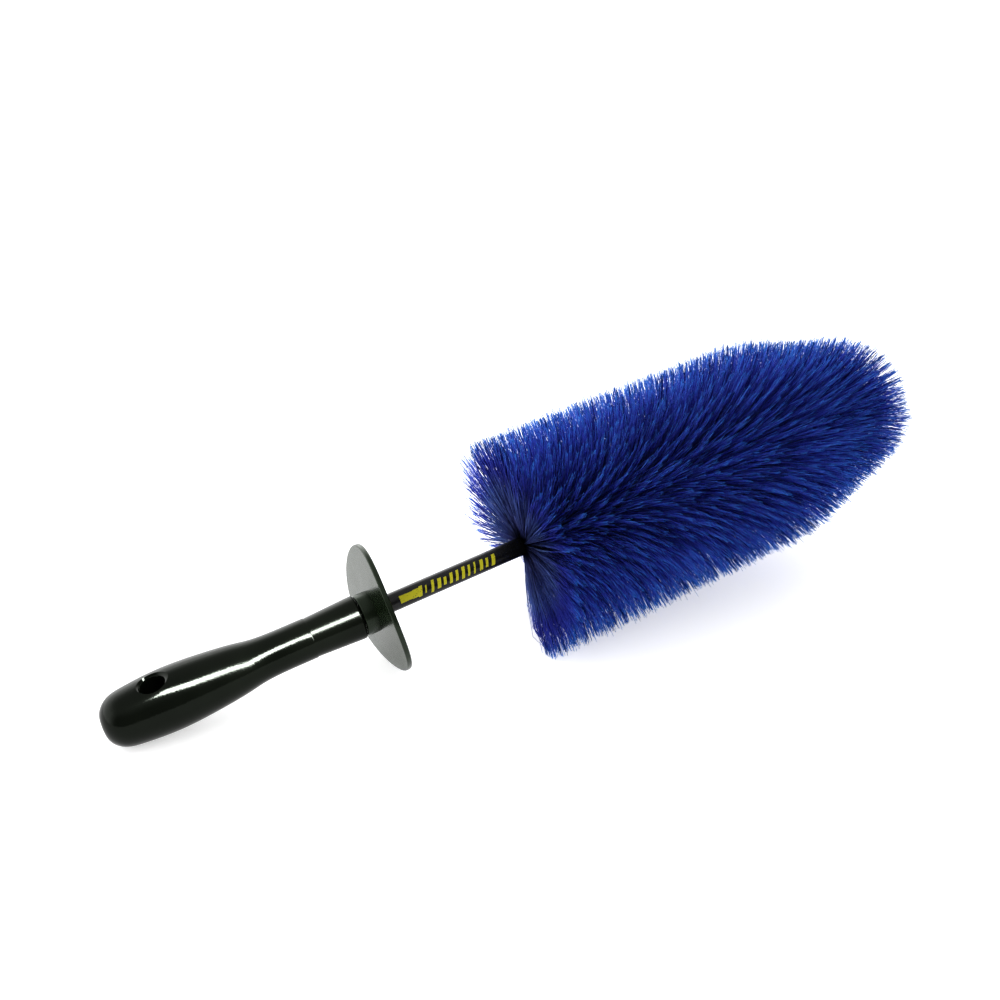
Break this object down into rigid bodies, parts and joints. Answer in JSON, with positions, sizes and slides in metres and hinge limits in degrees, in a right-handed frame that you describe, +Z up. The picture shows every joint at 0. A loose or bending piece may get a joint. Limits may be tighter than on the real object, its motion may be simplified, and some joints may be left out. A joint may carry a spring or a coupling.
{
  "type": "wheel brush",
  "caption": "Long-handled wheel brush: moulded grip with a hang hole, curled hand guard, sleeved flexible stem and a tapered twisted-wire bristle head.",
  "frame": {"origin": "under the middle of the bounding box, on the floor plane that the brush lies on", "axes": "+X along the brush towards the nose as seen from above, +Z up; the brush's own axis rises 9.6 degrees towards the nose"},
  "size_m": [0.4532, 0.1164, 0.1303],
  "materials": {
    "handle": "gloss",
    "hand_guard": "satin",
    "ferrule": "satin",
    "sleeve": "gloss",
    "wire": "satin",
    "nose_cap": "satin",
    "bristles": "gloss"
  },
  "bodies": {
    "handle_body": {"handle": "handle", "core_ferrule": "ferrule", "stem_sleeve": "sleeve"},
    "guard_body": {"hand_guard": "hand_guard"},
    "head_body": {"core_wire_a": "wire", "core_wire_b": "wire", "nose_cap": "nose_cap", "bristle_turn_01": "bristles", "bristle_turn_02": "bristles", "bristle_turn_03": "bristles", "bristle_turn_04": "bristles", "bristle_turn_05": "bristles", "bristle_turn_06": "bristles", "bristle_turn_07": "bristles", "bristle_turn_08": "bristles", "bristle_turn_09": "bristles", "bristle_turn_10": "bristles", "bristle_turn_11": "bristles", "bristle_turn_12": "bristles", "bristle_turn_13": "bristles", "bristle_turn_14": "bristles", "bristle_turn_15": "bristles", "bristle_turn_16": "bristles", "bristle_turn_17": "bristles", "bristle_turn_18": "bristles", "bristle_turn_19": "bristles", "bristle_turn_20": "bristles", "bristle_turn_21": "bristles", "bristle_turn_22": "bristles", "bristle_turn_23": "bristles", "bristle_turn_24": "bristles"}
  },
  "joints": [
    {"name": "stem_flex", "type": "hinge", "parent": "handle_body", "child": "head_body", "pos_m": [-0.05448, 0, 0.04019], "axis": [0, 0, 1], "range_deg": [-15, 15], "stiffness_Nm_per_rad": 17, "deforming": ["stem_sleeve", "core_wire_a", "core_wire_b"]},
    {"name": "guard_spin", "type": "hinge", "parent": "handle_body", "child": "guard_body", "pos_m": [-0.09969, 0, 0.03254], "axis": [0.986, 0, 0.1668], "continuous": true}
  ]
}
